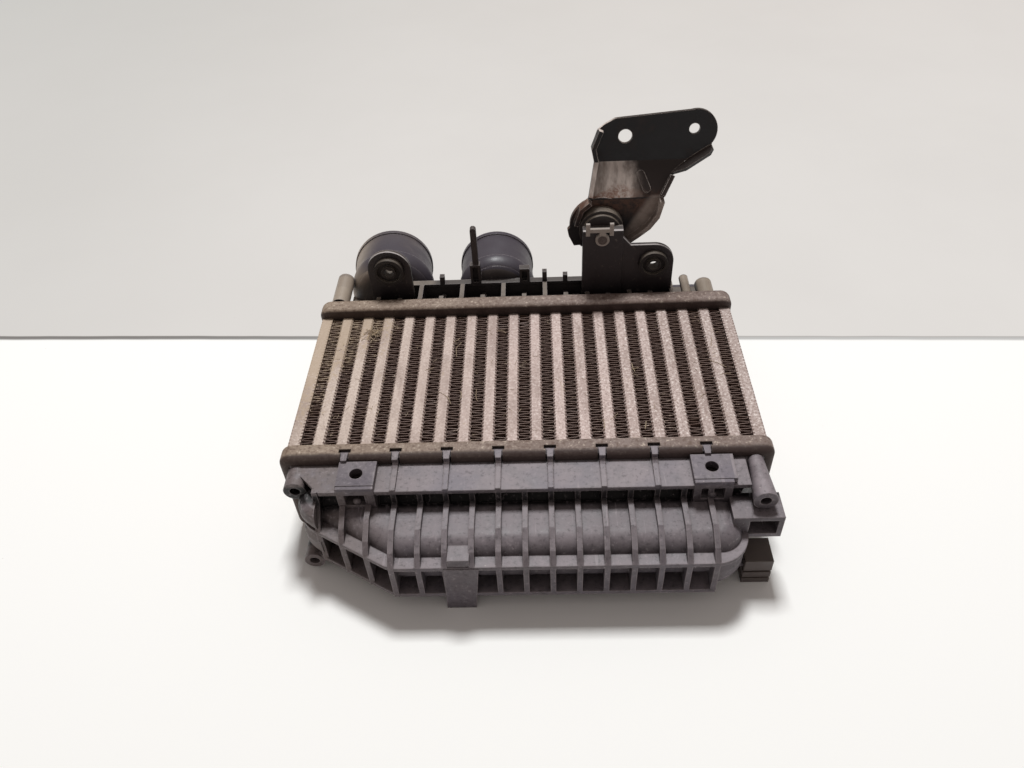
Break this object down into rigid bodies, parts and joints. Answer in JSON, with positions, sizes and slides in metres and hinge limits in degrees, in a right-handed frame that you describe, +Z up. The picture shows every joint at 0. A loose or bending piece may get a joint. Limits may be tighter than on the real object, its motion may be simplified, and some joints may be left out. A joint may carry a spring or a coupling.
{
  "type": "intercooler",
  "caption": "Tube-and-fin charge air cooler with two crimped plastic end tanks, hose spigots on one tank and a stamped bracket on a rubber bush.",
  "frame": {"origin": "on the ground, under the middle of the whole part's bounding box", "axes": "+X across the tubes towards the bracket's end, +Y along the tubes towards the tank with the hose spigots, +Z up through the core's depth"},
  "size_m": [0.276, 0.2727, 0.1719],
  "materials": {
    "tank_plastic": "dusty satin",
    "tube_aluminium": "dull, granular oxide",
    "fin_aluminium": "dull, dirty",
    "header_aluminium": "dull, dusty",
    "gasket_rubber": "matte",
    "bracket_paint": "worn semi-gloss",
    "bush_rubber": "dusty matte",
    "pin_steel": "dull",
    "clip_plastic": "dusty"
  },
  "bodies": {
    "root": {"tube_01": "tube_aluminium", "tube_02": "tube_aluminium", "tube_03": "tube_aluminium", "tube_04": "tube_aluminium", "tube_05": "tube_aluminium", "tube_06": "tube_aluminium", "tube_07": "tube_aluminium", "tube_08": "tube_aluminium", "tube_09": "tube_aluminium", "tube_10": "tube_aluminium", "tube_11": "tube_aluminium", "tube_12": "tube_aluminium", "tube_13": "tube_aluminium", "tube_14": "tube_aluminium", "tube_15": "tube_aluminium", "tube_16": "tube_aluminium", "tube_17": "tube_aluminium", "tube_18": "tube_aluminium", "fin_01": "fin_aluminium", "fin_02": "fin_aluminium", "fin_03": "fin_aluminium", "fin_04": "fin_aluminium", "fin_05": "fin_aluminium", "fin_06": "fin_aluminium", "fin_07": "fin_aluminium", "fin_08": "fin_aluminium", "fin_09": "fin_aluminium", "fin_10": "fin_aluminium", "fin_11": "fin_aluminium", "fin_12": "fin_aluminium", "fin_13": "fin_aluminium", "fin_14": "fin_aluminium", "fin_15": "fin_aluminium", "fin_16": "fin_aluminium", "fin_17": "fin_aluminium", "fin_18": "fin_aluminium", "fin_19": "fin_aluminium", "side_plate_left": "tube_aluminium", "side_plate_right": "tube_aluminium", "header_front": "header_aluminium", "header_rear": "header_aluminium", "gasket_front": "gasket_rubber", "gasket_rear": "gasket_rubber", "tank_front": "tank_plastic", "tank_rear": "tank_plastic", "mounting_bracket": "bracket_paint", "isolator_rubber": "bush_rubber", "isolator_sleeve": "pin_steel", "isolator_pin": "pin_steel", "isolator_clip": "clip_plastic", "left_grommet": "bush_rubber", "right_grommet": "bush_rubber", "boss_nuts": "pin_steel", "rubber_buffer": "bush_rubber"}
  },
  "joints": []
}
